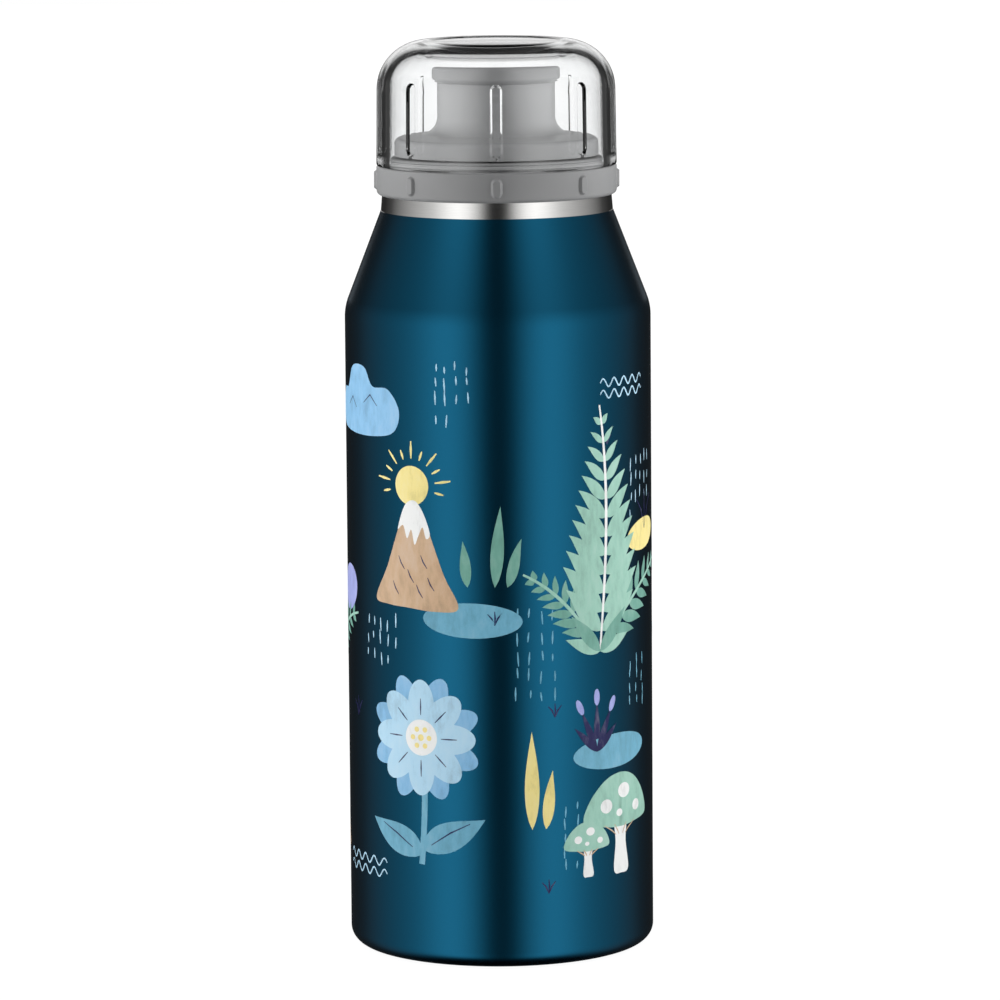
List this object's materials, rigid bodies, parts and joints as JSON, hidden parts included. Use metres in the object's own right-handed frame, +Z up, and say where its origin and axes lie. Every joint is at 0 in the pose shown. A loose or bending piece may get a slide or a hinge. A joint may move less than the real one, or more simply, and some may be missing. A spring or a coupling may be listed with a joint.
{
  "type": "kids water bottle",
  "caption": "Slim double-walled steel drinking bottle for children, with a screw closure, twist-open spout and clear pull-off cap.",
  "frame": {"origin": "middle of the base, on the plane that the bottle stands on", "axes": "+Z up along the bottle's axis; the printed front, with one grip rib and cap groove in its middle, faces -Y; +X is to the right seen from the front"},
  "size_m": [0.07, 0.07, 0.2083],
  "materials": {
    "coated_steel": "dark petrol-blue metallic coat with a satin gloss and a printed pattern; the neck is bare",
    "bare_steel": "turned and brushed stainless steel",
    "grey_plastic": "fine satin moulded polypropylene, mid grey",
    "white_plastic": "satin natural polypropylene",
    "silicone": "soft matt silicone, pale grey",
    "clear_plastic": "thick clear polished plastic",
    "solder_glass": "dark glassy solder bead",
    "getter": "dull sintered grey",
    "foil": "bright copper-coloured foil"
  },
  "bodies": {
    "flask": {"outer_shell": "coated_steel", "inner_liner": "bare_steel", "inner_bottom": "bare_steel", "outer_bottom": "bare_steel", "base_cover": "bare_steel", "vacuum_plug": "solder_glass", "getter_clip": "bare_steel", "getter_pellet": "getter", "radiation_foil": "foil"},
    "neck_seal": {"neck_gasket": "silicone"},
    "closure": {"stopper": "grey_plastic", "grip_ring": "grey_plastic", "cap_grip_ring": "silicone", "valve_stem": "white_plastic", "valve_tip": "silicone", "vent_valve": "silicone"},
    "spout_seal": {"spout_o_ring": "silicone"},
    "spout": {"drinking_spout": "grey_plastic"},
    "cap": {"clear_cap": "clear_plastic"}
  },
  "joints": [
    {"name": "closure_rise", "type": "slide", "parent": "flask", "child": "neck_seal", "axis": [0, 0, 1], "range_m": [0, 0.008]},
    {"name": "closure_turn", "type": "hinge", "parent": "neck_seal", "child": "closure", "pos_m": [0, 0, 0.177], "axis": [0, 0, 1], "range_deg": [0, 720]},
    {"name": "spout_rise", "type": "slide", "parent": "closure", "child": "spout_seal", "axis": [0, 0, 1], "range_m": [0, 0.0025]},
    {"name": "spout_turn", "type": "hinge", "parent": "spout_seal", "child": "spout", "pos_m": [0, 0, 0.1865], "axis": [0, 0, 1], "range_deg": [0, 90]},
    {"name": "cap_lift", "type": "slide", "parent": "closure", "child": "cap", "axis": [0, 0, 1], "range_m": [0, 0.06]}
  ],
  "couplings": [
    {"joint": "closure_rise", "follows": "closure_turn", "m_per_rad": 0.00063662},
    {"joint": "spout_rise", "follows": "spout_turn", "m_per_rad": 0.0015915}
  ]
}
